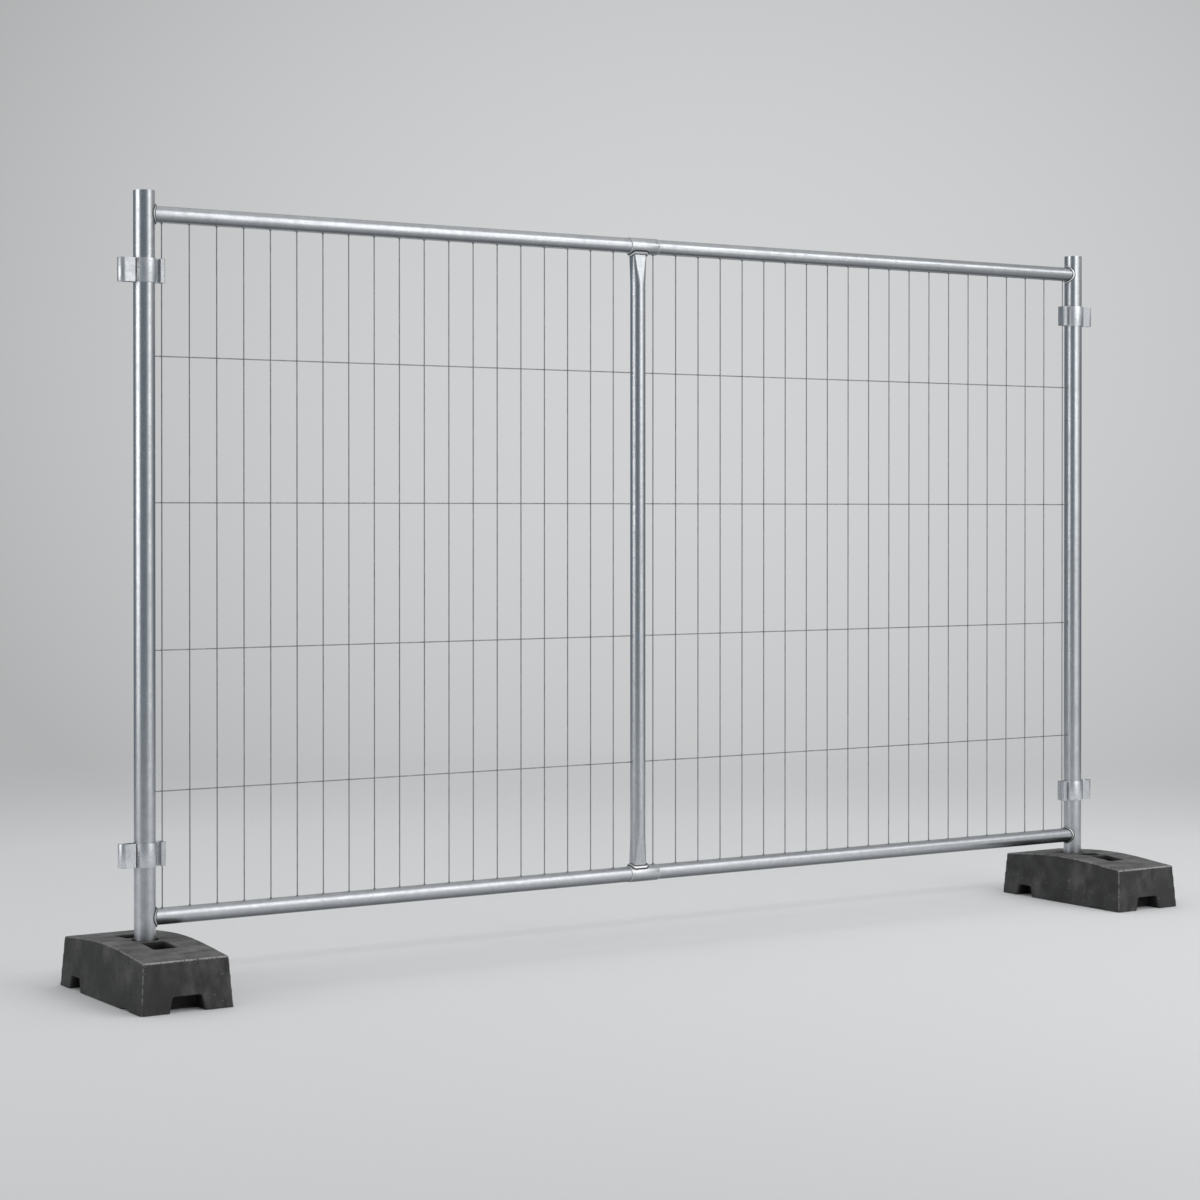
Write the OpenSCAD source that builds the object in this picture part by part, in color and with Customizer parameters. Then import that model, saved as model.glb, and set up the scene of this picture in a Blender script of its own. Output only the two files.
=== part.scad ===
// Temporary fence panel: a welded tube frame with a thin wire mesh, standing in two
// moulded rubber feet, with two bolted coupling clips on each post.
// Millimetres. +X runs along the panel, +Z is up and -Y is the front. The origin lies
// on the floor, on the axis of the left post.

/* [Posts and rails] */
// Distance between the two post axes
post_spacing = 3116; // [2600:1:3600]
// Outside diameter of the posts
post_od = 54; // [48:0.5:60]
// Wall of the posts
post_wall = 2; // [1.5:0.1:4]
// How far the posts stand above the top rail's axis
post_overtop = 57; // [30:1:150]
// Height of the top rail's axis above the floor
top_rail_height = 1944; // [1640:1:2400]
// Height of the bottom rail's axis above the floor
bottom_rail_height = 194; // [170:1:240]
// Outside diameter of both rails
rail_od = 42.4; // [32:0.1:48]
// Wall of both rails
rail_wall = 2; // [1.5:0.1:4]
// Leg of the weld beads round the rail ends
weld_leg = 5; // [3:0.5:6]

/* [Centre bar] */
// How far the bar's axis stands left of the panel's middle
bar_offset = 81; // [0:1:200]
// Outside diameter of the bar
bar_od = 42.4; // [32:0.1:48]
// Wall of the bar
bar_wall = 2; // [1.5:0.1:3]
// Width of the bar's pressed ends, along the panel
bar_end_width = 44; // [40:1:48]
// Thickness of the bar's pressed ends, through the panel
bar_end_thickness = 28; // [22:1:32]
// Corner radius of the bar's pressed ends
bar_end_corner = 6.5; // [5:0.5:9]
// Leg of the weld beads round the bar's ends
bar_weld_leg = 7; // [4:0.5:8]
// Length over which the round bar changes into its pressed end
bar_end_length = 75; // [50:1:120]
// Length of the sleeves on the rails where the bar is welded
sleeve_length = 93; // [75:1:110]
// Wall of those sleeves
sleeve_wall = 1.5; // [1:0.1:3]
// How far the sleeves sit to the right of the bar's axis
sleeve_shift = 14; // [0:1:15]

/* [Wire mesh] */
// Diameter of the mesh wires
wire_d = 3; // [2:0.1:5]
// Distance of the outermost upright wires from the post axes
edge_wire = 46; // [42:1:52]
// Upright wires in the left bay
left_uprights = 19; // [10:1:24]
// Upright wires in the right bay
right_uprights = 21; // [10:1:24]
// Distance from the bar's axis to the nearest upright of the left bay
left_bar_gap = 83; // [50:1:100]
// Distance from the bar's axis to the nearest upright of the right bay
right_bar_gap = 50; // [45:1:100]
// Distances of the two upper cross wires below the top rail's axis
upper_cross_drops = [353, 718]; // [250:1:720]
// Distances of the two lower cross wires above the bottom rail's axis
lower_cross_rises = [664, 312]; // [250:1:680]

/* [Coupling clips] */
// Height of each clip
clip_height = 60; // [40:1:80]
// Thickness of the clips' sheet
clip_sheet = 3; // [2:0.1:4]
// Depth of the clips' ears, front to back
clip_ear_depth = 30; // [26:0.5:34]
// Distance from the post's axis to the outer ear's tip
clip_ear_reach = 70.5; // [68:0.5:85]
// Width of the clips' tabs round the edge wires
clip_tab_width = 13; // [12:0.5:14]
// Radius of the tabs' two outer corners
clip_tab_corner = 5; // [4.5:0.5:8]
// Gap between the two shells of a clip
clip_split = 0.6; // [0.3:0.1:2]
// Distances of the upper clips' middles below the top rail's axis, left and right
upper_clip_drops = [141, 130]; // [80:1:220]
// Distances of the lower clips' middles above the bottom rail's axis, left and right
lower_clip_rises = [157, 139]; // [80:1:220]

/* [Clip fasteners] */
// Diameter of the clip bolt's shank
bolt_d = 8; // [6:0.5:9]
// Width of the bolt head across its flats
bolt_head_flats = 13; // [11:0.5:14]
// Height of the bolt head
bolt_head_height = 5.3; // [4:0.1:7]
// Outside diameter of the washer
washer_od = 16; // [14:0.5:18]
// Thickness of the washer
washer_thickness = 1.6; // [1:0.1:2.5]
// Width of the weld nut across its flats
nut_flats = 13; // [11.5:0.5:14]
// Height of the weld nut
nut_height = 6.5; // [5:0.1:8]

/* [Feet] */
// Length of a foot on the floor, front to back
foot_length = 518; // [460:1:640]
// Width of a foot on the floor, along the panel
foot_width = 242; // [200:1:300]
// Height of the foot's crest at the post
foot_crest_height = 140; // [134:1:146]
// Drop of the arched top from the crest to its shoulders
foot_crown = 3; // [1:0.5:6]
// Height of the top edge at the foot's two ends
foot_end_height = 124; // [110:1:130]
// Length of the sloping facet at each end of the top
foot_facet = 49; // [30:1:70]
// Inward lean of each side from the floor to the top
foot_draft = 10; // [4:1:16]
// Rubber under the post
foot_floor = 20; // [10:1:30]
// Gap all round the post in its socket
socket_gap = 7; // [3:0.5:12]
// Rubber between the socket and the slots beside it
foot_web = 6; // [5:1:20]
// Length of the slots before and behind the socket
slot_length = 88; // [66:1:96]
// Gap at each side of a post that stands in a slot
slot_gap = 4; // [2:0.5:8]
// Height of the hand holds in the two ends
end_hold_height = 38; // [25:1:45]
// Width of the end hand holds on the floor
end_hold_width = 98; // [80:1:120]
// Height of the hand holds in the two long sides
side_hold_height = 33; // [20:1:40]
// Width of the side hand holds on the floor
side_hold_width = 75; // [60:1:80]
// Distance from the foot's end to the middle of the nearest side hand hold
side_hold_inset = 100; // [90:1:110]
// Depth of all the hand holds
hold_depth = 50; // [30:1:60]
// Slope of the hand holds' sides: how far each side leans in over the hold's height
hold_lean = 11; // [4:1:16]
// Height of the shallow reliefs in the long sides' lower edge
relief_height = 4; // [2:0.5:8]
// Length of those reliefs
relief_length = 47; // [30:1:60]

/* [Hidden] */
$fn = 64;
// Standing gap of pieces that are welded to each other
weld_gap = 0.1;
// Running gap round the post in a clip, and between a bolt head and its washer
clip_gap = 0.3;
head_gap = 0.1;
// Room for the bolt, across its diameter, in the nut, the washer and the shell
nut_play = 0.2;
washer_play = 0.4;
hole_play = 1;
// Half depth at which the sheet of a clip folds out of the band into the ear
ear_fold = 7;
// Half the gap between the two shells in the necks that carry the ear and the tab
ear_gap = 3.5;
tab_gap = 1;
// Room between the edge wire and the end of a clip's tab
wire_room = 0.5;
// Straight steps in each rounded corner of a pressed bar end or a tab
corner_steps = 8;
// Room between the tip of the bolt and the front shell
tip_room = 0.5;
// Overshoot of cutting bodies, and thickness of the slices that a pressed end is drawn between
cut = 1;
slice = 0.01;

steel = [0.72, 0.74, 0.76];
wire_grey = [0.42, 0.44, 0.45];
bead_grey = [0.62, 0.64, 0.66];
fastener_zinc = [0.78, 0.79, 0.8];
rubber_black = [0.2, 0.2, 0.2];

left_x = 0;
right_x = post_spacing;
post_r = post_od / 2;
rail_r = rail_od / 2;
bar_r = bar_od / 2;
bar_x = post_spacing / 2 - bar_offset;
post_top = top_rail_height + post_overtop;
sleeve_x = bar_x + sleeve_shift;
sleeve_r = rail_r + weld_gap + sleeve_wall;
wire_r = wire_d / 2;
upright_y = -(wire_d + weld_gap) / 2;
cross_y = (wire_d + weld_gap) / 2;
cross_heights = concat(
    [for (drop = upper_cross_drops) top_rail_height - drop],
    [for (rise = lower_cross_rises) bottom_rail_height + rise]);

band_r = post_r + clip_gap + clip_sheet;
ear_half = clip_ear_depth / 2;
ear_tip_x = -(clip_ear_reach - ear_half);
ear_root_x = -sqrt(pow(band_r, 2) - pow(ear_fold, 2));
tab_end_x = edge_wire + wire_r + wire_room + clip_sheet;
tab_root_x = tab_end_x - clip_tab_width;
bolt_x = (ear_tip_x + ear_root_x) / 2;
head_seat = ear_half + washer_thickness + head_gap;
bolt_tip = -(ear_half - clip_sheet - tip_room);

foot_half = foot_length / 2;
shoulder_y = foot_half - foot_draft - foot_facet;
shoulder_height = foot_crest_height - foot_crown;
crown_r = (pow(shoulder_y, 2) + pow(foot_crown, 2)) / (2 * foot_crown);
facet_slope = (shoulder_height - foot_end_height) / foot_facet;
socket_r = post_r + socket_gap;
slot_start = socket_r + foot_web;
slot_width = post_od + 2 * slot_gap;
slot_stand = slot_start + slot_width / 2;
side_hold_y = foot_half - side_hold_inset;

// Axis of a post; side is -1 for the left and 1 for the right
function post_at(side) = side < 0 ? left_x : right_x;

// Heights of the clips' middles on a post
function upper_clip_z(side) = top_rail_height - upper_clip_drops[side < 0 ? 0 : 1];
function lower_clip_z(side) = bottom_rail_height + lower_clip_rises[side < 0 ? 0 : 1];

// General shapes

// A round tube that stands on the XY plane
module tube(od, wall, length) {
    difference() {
        cylinder(d = od, h = length);
        translate([0, 0, -cut]) cylinder(d = od - 2 * wall, h = length + 2 * cut);
    }
}

// Turns a body that stands along Z to run along +X, at a height above the floor
module along_panel(x, height) {
    translate([x, 0, height]) rotate([0, 90, 0]) children();
}

// Turns a body that stands along Z to run along +Y, through a clip's ear
module through_ear(y) {
    translate([bolt_x, y, 0]) rotate([-90, 0, 0]) children();
}

// A hexagonal prism given by its width across the flats
module hexagon(flats, height) {
    cylinder(d = flats / cos(30), h = height, $fn = 6);
}

// Posts and rails

module post(x) {
    color(steel)
        translate([x, 0, foot_floor]) tube(post_od, post_wall, post_top - foot_floor);
}

// The space that a welded piece leaves for the post beside it
module post_seat(side) {
    translate([post_at(side), 0, 0]) cylinder(r = post_r + weld_gap, h = post_top + cut);
}

// A rail with both ends cut to the round of the posts
module rail(height) {
    color(steel)
        difference() {
            along_panel(left_x, height) tube(rail_od, rail_wall, post_spacing);
            for (side = [-1, 1]) post_seat(side);
        }
}

// The sleeve round a rail, where the centre bar is welded on
module sleeve(height) {
    color(steel)
        along_panel(sleeve_x - sleeve_length / 2, height) tube(2 * sleeve_r, sleeve_wall, sleeve_length);
}

// A bead that follows the saddle where a rail meets a post
module rail_weld(side, height) {
    difference() {
        intersection() {
            along_panel(side < 0 ? left_x : right_x - post_od, height)
                cylinder(r = rail_r + weld_leg, h = post_od);
            translate([post_at(side), 0, height - post_r - weld_leg])
                cylinder(r = post_r + weld_leg, h = post_od + 2 * weld_leg);
        }
        along_panel(left_x, height) cylinder(r = rail_r + weld_gap, h = post_spacing);
        post_seat(side);
    }
}

module rail_welds() {
    color(bead_grey)
        for (height = [top_rail_height, bottom_rail_height], side = [-1, 1]) rail_weld(side, height);
}

// Centre bar

// Outline of a pressed bar end, a rounded rectangle, grown or shrunk all round
module bar_end_outline(grow) {
    corner_x = bar_end_width / 2 - bar_end_corner;
    corner_y = bar_end_thickness / 2 - bar_end_corner;
    corners = [[corner_x, corner_y], [-corner_x, corner_y], [-corner_x, -corner_y], [corner_x, -corner_y]];
    round_r = bar_end_corner + grow;
    polygon([
        for (quarter = [0 : 3], step = [0 : corner_steps])
            let (angle = 90 * (quarter + step / corner_steps))
                corners[quarter] + round_r * [cos(angle), sin(angle)]
    ]);
}

// One half of the bar, from its middle up to a rail's axis, drawn along +Z. Its pressed end is straight
// as far as the weld bead reaches.
module half_bar(reach, inset) {
    straight_end = sleeve_r + bar_weld_leg;
    pressed = reach - straight_end;
    flare_start = pressed - bar_end_length;
    cylinder(r = bar_r - inset, h = flare_start);
    hull() {
        translate([0, 0, flare_start - slice]) linear_extrude(slice) circle(r = bar_r - inset, $fn = 32);
        translate([0, 0, pressed]) linear_extrude(slice) bar_end_outline(-inset);
    }
    translate([0, 0, pressed]) linear_extrude(straight_end) bar_end_outline(-inset);
}

module whole_bar(inset) {
    reach = (top_rail_height - bottom_rail_height) / 2;
    translate([bar_x, 0, bottom_rail_height + reach])
        for (turn = [0, 180]) rotate([turn, 0, 0]) half_bar(reach, inset);
}

// The space that the bar and its beads leave for the sleeve on a rail
module sleeve_seat(height) {
    along_panel(left_x, height) cylinder(r = sleeve_r + weld_gap, h = post_spacing);
}

module centre_bar() {
    color(steel)
        difference() {
            whole_bar(0);
            whole_bar(bar_wall);
            sleeve_seat(top_rail_height);
            sleeve_seat(bottom_rail_height);
        }
}

// A bead round a pressed end, lying on the sleeve; direction is 1 above a rail and -1 below it
module bar_weld(height, direction) {
    bead_r = sleeve_r + bar_weld_leg;
    difference() {
        intersection() {
            along_panel(left_x, height) cylinder(r = bead_r, h = post_spacing);
            translate([bar_x, 0, direction < 0 ? height - bead_r : height])
                linear_extrude(bead_r) bar_end_outline(bar_weld_leg);
        }
        sleeve_seat(height);
        translate([bar_x, 0, height - bead_r - cut])
            linear_extrude(2 * (bead_r + cut)) bar_end_outline(weld_gap);
    }
}

module bar_welds() {
    color(bead_grey) {
        bar_weld(top_rail_height, -1);
        bar_weld(bottom_rail_height, 1);
    }
}

// Wire mesh

// Radius of what an upright stands on at a place along the rails
function seat_radius(x) = abs(x - sleeve_x) < sleeve_length / 2 + wire_d ? sleeve_r : rail_r;

module uprights(first_x, last_x, count) {
    pitch = (last_x - first_x) / (count - 1);
    color(wire_grey)
        for (i = [0 : count - 1]) {
            x = first_x + i * pitch;
            low = bottom_rail_height + seat_radius(x) + weld_gap;
            high = top_rail_height - seat_radius(x) - weld_gap;
            translate([x, upright_y, low]) cylinder(r = wire_r, h = high - low);
        }
}

module crosswires(first_x, last_x) {
    color(wire_grey)
        for (height = cross_heights)
            translate([0, cross_y, 0]) along_panel(first_x, height) cylinder(r = wire_r, h = last_x - first_x);
}

module left_bay_uprights() uprights(left_x + edge_wire, bar_x - left_bar_gap, left_uprights);
module right_bay_uprights() uprights(bar_x + right_bar_gap, right_x - edge_wire, right_uprights);
module left_bay_crosswires() crosswires(left_x + post_r + weld_gap, bar_x - bar_r - weld_gap);
module right_bay_crosswires() crosswires(bar_x + bar_r + weld_gap, right_x - post_r - weld_gap);

// Coupling clips. Each is drawn on the left post, with its ear to the left, and mirrored for the right.

module on_post(side, height) {
    translate([post_at(side), 0, height]) mirror([side > 0 ? 1 : 0, 0, 0]) children();
}

// Outline of a tab round the edge wire, shrunk all round, with its two outer corners rounded
module tab_outline(inset) {
    round_r = clip_tab_corner - inset;
    centre_x = tab_end_x - clip_tab_corner;
    centre_y = ear_half - clip_tab_corner;
    root_x = tab_root_x + inset;
    half = ear_half - inset;
    polygon([
        [root_x, half], [root_x, -half],
        for (way = [-1, 1], step = [0 : corner_steps])
            let (angle = 45 * (way - 1) + 90 * step / corner_steps)
                [centre_x, way * centre_y] + round_r * [cos(angle), sin(angle)]
    ]);
}

// A straight block that runs from a post's axis out to one side
module neck(reach, half, height) {
    translate([min(reach, 0), -half, 0]) cube([abs(reach), 2 * half, height]);
}

// A whole clip as a block, shrunk all round: the band on the post, the outer ear with its round end, and
// the tab round the edge wire. The necks run on into the ear and the tab.
module clip_block(inset, height) {
    half = ear_half - inset;
    translate([0, 0, -height / 2]) {
        cylinder(r = band_r - inset, h = height);
        translate([ear_tip_x, 0, 0]) cylinder(r = half, h = height);
        translate([ear_tip_x, -half, 0]) cube([ear_root_x - inset - ear_tip_x, 2 * half, height]);
        linear_extrude(height) tab_outline(inset);
        neck(ear_root_x - clip_sheet - cut, clip_sheet + ear_gap - inset, height);
        neck(tab_root_x + clip_sheet + cut, clip_sheet + tab_gap - inset, height);
    }
}

// One pressed shell of a clip; facing is -1 for the front and 1 for the rear
module clip_shell(facing) {
    far = clip_ear_reach + band_r;
    difference() {
        clip_block(0, clip_height);
        clip_block(clip_sheet, clip_height + 2 * cut);
        translate([-far, facing < 0 ? -clip_split / 2 : clip_split / 2 - 2 * far, -far])
            cube(2 * far);
    }
}

module front_shell(side, height) {
    color(steel) on_post(side, height) clip_shell(-1);
}

module rear_shell(side, height) {
    color(steel)
        on_post(side, height)
            difference() {
                clip_shell(1);
                through_ear(0) cylinder(d = bolt_d + hole_play, h = clip_ear_depth);
            }
}

module clip_bolt(side, height) {
    color(fastener_zinc)
        on_post(side, height) {
            through_ear(bolt_tip) cylinder(d = bolt_d, h = head_seat - bolt_tip);
            through_ear(head_seat) hexagon(bolt_head_flats, bolt_head_height);
        }
}

module washer(side, height) {
    color(fastener_zinc)
        on_post(side, height)
            through_ear(ear_half)
                tube(washer_od, (washer_od - bolt_d - washer_play) / 2, washer_thickness);
}

// The nut welded inside the front shell's ear
module weld_nut(side, height) {
    color(fastener_zinc)
        on_post(side, height)
            through_ear(clip_sheet - ear_half)
                difference() {
                    hexagon(nut_flats, nut_height);
                    translate([0, 0, -cut]) cylinder(d = bolt_d + nut_play, h = nut_height + 2 * cut);
                }
}

// Feet

// Side view of a foot: sloping ends, a facet above each end, and a gently arched top
module foot_side() {
    apex = shoulder_height + shoulder_y * facet_slope;
    end_top = foot_half - foot_draft;
    intersection() {
        polygon([
            [-foot_half, 0], [foot_half, 0], [end_top, foot_end_height],
            [0, apex], [-end_top, foot_end_height]
        ]);
        translate([0, foot_crest_height - crown_r]) circle(r = crown_r, $fn = 720);
    }
}

// End view of a foot
module foot_end() {
    half = foot_width / 2;
    polygon([
        [-half, 0], [half, 0], [half - foot_draft, foot_crest_height], [foot_draft - half, foot_crest_height]
    ]);
}

// A hold cut into a foot's lower edge, with leaning sides, drawn from its mouth towards +Y
module hold(width, height, lean) {
    half = width / 2;
    rotate([90, 0, 180])
        translate([0, 0, -cut])
            linear_extrude(hold_depth + cut)
                polygon([
                    [-half, -cut], [half, -cut], [half, 0], [half - lean, height],
                    [lean - half, height], [-half, 0]
                ]);
}

// A foot; a post stands in its round socket, or in either slot close to the socket
module foot(x, y) {
    relief_lean = hold_lean * relief_height / side_hold_height;
    color(rubber_black)
        translate([x, y, 0])
            difference() {
                intersection() {
                    translate([-foot_width / 2, 0, 0])
                        rotate([90, 0, 90]) linear_extrude(foot_width) foot_side();
                    translate([0, foot_half, 0])
                        rotate([90, 0, 0]) linear_extrude(foot_length) foot_end();
                }
                translate([0, 0, foot_floor]) cylinder(r = socket_r, h = foot_crest_height);
                for (turn = [0, 180]) rotate([0, 0, turn]) {
                    translate([-slot_width / 2, slot_start, foot_floor])
                        cube([slot_width, slot_length, foot_crest_height]);
                    translate([0, -foot_half, 0]) hold(end_hold_width, end_hold_height, hold_lean);
                    translate([-foot_width / 2, side_hold_y, 0])
                        rotate([0, 0, -90]) hold(side_hold_width, side_hold_height, hold_lean);
                    translate([-foot_width / 2, -side_hold_y, 0])
                        rotate([0, 0, -90]) hold(relief_length, relief_height, relief_lean);
                }
            }
}

post(left_x);  // left_post
post(right_x);  // right_post
rail(top_rail_height);  // top_rail
rail(bottom_rail_height);  // bottom_rail
sleeve(top_rail_height);  // top_sleeve
sleeve(bottom_rail_height);  // bottom_sleeve
centre_bar();
left_bay_uprights();
left_bay_crosswires();
right_bay_uprights();
right_bay_crosswires();
rail_welds();
bar_welds();
foot(left_x, 0);  // left_foot
foot(right_x, -slot_stand);  // right_foot
front_shell(-1, upper_clip_z(-1));  // upper_left_front_shell
rear_shell(-1, upper_clip_z(-1));  // upper_left_rear_shell
clip_bolt(-1, upper_clip_z(-1));  // upper_left_bolt
washer(-1, upper_clip_z(-1));  // upper_left_washer
weld_nut(-1, upper_clip_z(-1));  // upper_left_weld_nut
front_shell(-1, lower_clip_z(-1));  // lower_left_front_shell
rear_shell(-1, lower_clip_z(-1));  // lower_left_rear_shell
clip_bolt(-1, lower_clip_z(-1));  // lower_left_bolt
washer(-1, lower_clip_z(-1));  // lower_left_washer
weld_nut(-1, lower_clip_z(-1));  // lower_left_weld_nut
front_shell(1, upper_clip_z(1));  // upper_right_front_shell
rear_shell(1, upper_clip_z(1));  // upper_right_rear_shell
clip_bolt(1, upper_clip_z(1));  // upper_right_bolt
washer(1, upper_clip_z(1));  // upper_right_washer
weld_nut(1, upper_clip_z(1));  // upper_right_weld_nut
front_shell(1, lower_clip_z(1));  // lower_right_front_shell
rear_shell(1, lower_clip_z(1));  // lower_right_rear_shell
clip_bolt(1, lower_clip_z(1));  // lower_right_bolt
washer(1, lower_clip_z(1));  // lower_right_washer
weld_nut(1, lower_clip_z(1));  // lower_right_weld_nut
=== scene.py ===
"""Looks of a temporary fence panel: finishes, weld beads, wire joints, moulded feet, camera and studio.

Everything is in metres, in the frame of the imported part: +X runs along the panel, -Y is its front,
+Z is up, and the origin lies on the floor on the axis of the left post.
"""

import math

import bmesh
import bpy
import numpy as np
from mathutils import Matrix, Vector, noise


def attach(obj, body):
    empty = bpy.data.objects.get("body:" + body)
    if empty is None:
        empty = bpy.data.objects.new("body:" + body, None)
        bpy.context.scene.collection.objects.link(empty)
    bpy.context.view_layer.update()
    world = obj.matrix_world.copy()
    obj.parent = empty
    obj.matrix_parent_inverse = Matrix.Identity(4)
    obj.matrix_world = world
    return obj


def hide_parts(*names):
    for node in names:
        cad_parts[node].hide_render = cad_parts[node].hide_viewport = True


# Sizes of the part that the added pieces follow
POST_SPACING = 3.116
POST_RADIUS = 0.027
RAIL_RADIUS = 0.0212
RAIL_HEIGHTS = (1.944, 0.194)
SLEEVE_RADIUS = 0.0228
SLEEVE_SPAN = (1.4445, 1.5375)
BAR_X = 1.477
BAR_RADIUS = 0.0212
BAR_END_WIDTH = 0.044
BAR_END_THICKNESS = 0.028
BAR_END_CORNER = 0.0065
RAIL_WELD_LEG = 0.005
BAR_WELD_LEG = 0.007
UPRIGHT_Y = -0.00155
CROSS_Y = 0.00155
CROSS_HEIGHTS = (1.591, 1.226, 0.858, 0.506)
CLIPS = ("upper_left", "lower_left", "upper_right", "lower_right")
FOOT_LENGTH = 0.518
FOOT_WIDTH = 0.242
FOOT_CREST = 0.140
FOOT_CROWN = 0.003
FOOT_END = 0.124
FOOT_FACET = 0.049
FOOT_DRAFT = 0.010
FOOT_MIDDLES = {"left": (0.0, 0.0), "right": (POST_SPACING, -0.071)}

# The first upright, the last upright and the number of uprights in each bay
LEFT_BAY = (0.046, 1.394, 19)
RIGHT_BAY = (1.527, 3.070, 21)

# Where the painted shade in the folds beside a clip's ear and tab begins and ends, as distances along X from
# the panel's middle
EAR_FOLD_START = (1.5790, 1.5812)
EAR_FOLD_END = (1.5870, 1.5876)
TAB_FOLD_START = (1.5196, 1.5202)
TAB_FOLD_END = (1.5275, 1.5295)
TAB_RIM = (1.5196, 1.5200)

# Broken edges of pressed pieces and sleeves
SAME_POINT = 0.00001
PRESSED_EDGE = 0.0004
SLEEVE_EDGE = 0.0014
BROKEN_EDGE_ANGLE = math.radians(40)

# Weld beads
BEAD_PROFILE_STEPS = 9
BEAD_ROOT_DEPTH = 0.0008
BEAD_RIPPLE = 0.05
BEAD_RIPPLE_PITCH = 0.0034
BEAD_WANDER = 0.10
BEAD_WANDER_SCALE = 140
RAIL_BEAD_STEPS = 240
BAR_CORNER_STEPS = 12
BAR_SIDE_STEPS = 36
BAR_BEAD_SEED = 10

# Lumps of melted metal at the wires' joints
NUGGET_AROUND = 8
NUGGET_ROWS = 5
NUGGET_SWELL = 0.22
NUGGET_SWELL_SCALE = 1.7
NUGGET_SEED_STEP = 3.1
NUGGET_LIFT = 0.0004
NUGGET_AT_RAIL = Vector((0.0031, 0.0030, 0.0028))
NUGGET_AT_POST_OR_BAR = Vector((0.0028, 0.0030, 0.0031))
NUGGET_AT_CROSSING = Vector((0.0019, 0.0014, 0.0019))
CROSSING_SEED = 500
SLEEVE_MARGIN = 0.003

# The skin of the feet
FOOT_ARCH_SHOULDER = 0.125
FOOT_ARCH_SHOULDER_HEIGHT = 0.1345
FOOT_ARCH_FOOTING = 0.060
FOOT_UNDERSIDE = 0.0001
FOOT_LOWERED = -0.008
FOOT_VOXEL = 0.0025
FOOT_ROUNDING = 0.5
FOOT_ROUNDING_PASSES = 3
FLAT_REACH = 0.002
FLAT_EDGE = 0.003
FLAT_EDGE_RUN = 0.004
RUB_REACH = 0.005
RUB_SIDE_TOP = 0.5
RUB_SIDE_END = 0.45
HOLE_DEPTH = 0.003
HOLE_DEPTH_RUN = 0.010
HOLE_FLOOR_RUN = 0.003
FOOT_LUMP_HEIGHT = 0.0005
FOOT_LUMP_SCALES_AND_SHARES = ((45, 0.5), (140, 0.3))

# The photograph's camera
CAMERA_PLACE = (-2.637, -6.1232, 1.2025)
CAMERA_YAW = 0.5773
CAMERA_PITCH = -0.0069
CAMERA_SENSOR = 36.0
CAMERA_LENS = 79.313
CAMERA_SHIFT_UP = -0.058
CAMERA_REACH = 200.0

# The studio: where its floor fades out and where painted shade darkens it, and where its backdrop is
# lightest
PANEL_MIDDLE = Vector((POST_SPACING / 2, 0.0, 0.0))
FLOOR_RADIUS = 7.0
FLOOR_SIDES = 96
FLOOR_DROP = Vector((0.0, 0.0, -0.0005))
FLOOR_FADE = (3.0, 6.0)
FLOOR_PAINTED_SHADE = (-2.6, -0.4)
LIGHTEST_YAW = CAMERA_YAW + 0.04
LIGHTEST_WAY = (math.sin(LIGHTEST_YAW), math.cos(LIGHTEST_YAW), 0.06)
LIGHTEST_SPREAD = (0.305, 50.0, 0.239)
CARD_BOTTOM = -2.5

# The sockets of a mix node that carry its share and its colours
MIX_SHARE = 0
MIX_FIRST = 6
MIX_SECOND = 7
MIX_RESULT = 2

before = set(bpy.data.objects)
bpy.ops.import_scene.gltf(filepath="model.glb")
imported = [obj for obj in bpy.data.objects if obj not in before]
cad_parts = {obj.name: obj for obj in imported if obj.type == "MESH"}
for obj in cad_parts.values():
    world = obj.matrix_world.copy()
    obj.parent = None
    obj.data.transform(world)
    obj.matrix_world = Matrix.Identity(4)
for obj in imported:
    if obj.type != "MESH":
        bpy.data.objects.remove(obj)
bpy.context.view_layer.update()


def shown(name, mesh):
    """Adds a mesh to the scene as a new object at the origin."""
    piece = bpy.data.objects.new(name, mesh)
    bpy.context.scene.collection.objects.link(piece)
    return piece


# Finishes


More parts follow.
